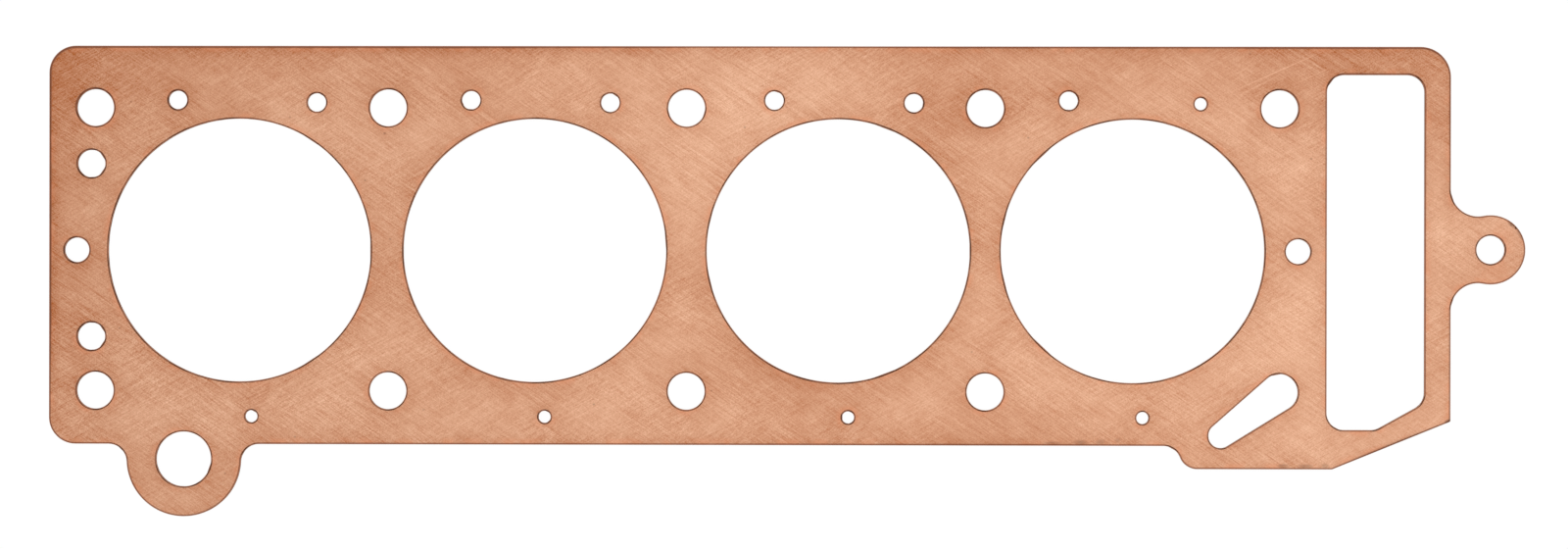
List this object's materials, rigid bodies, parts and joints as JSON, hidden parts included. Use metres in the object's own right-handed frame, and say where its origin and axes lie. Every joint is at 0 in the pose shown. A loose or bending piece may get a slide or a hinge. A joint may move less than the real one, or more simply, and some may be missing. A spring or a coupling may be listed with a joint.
{
  "type": "cylinder head gasket",
  "caption": "Flat copper head gasket for an in-line four-cylinder engine: four cylinder openings, head bolt and coolant holes, a timing chest window, an ear and a lobe.",
  "frame": {"origin": "on the sheet's lower face, on the line through the cylinder centres, midway between cylinders 2 and 3", "axes": "+X along the cylinder line to the timing end, +Z from the engine block to the cylinder head"},
  "size_m": [0.5274, 0.1682, 0.0011],
  "materials": {
    "copper": "brushed and lightly tarnished soft copper"
  },
  "bodies": {
    "root": {"gasket_sheet": "copper"}
  },
  "joints": []
}
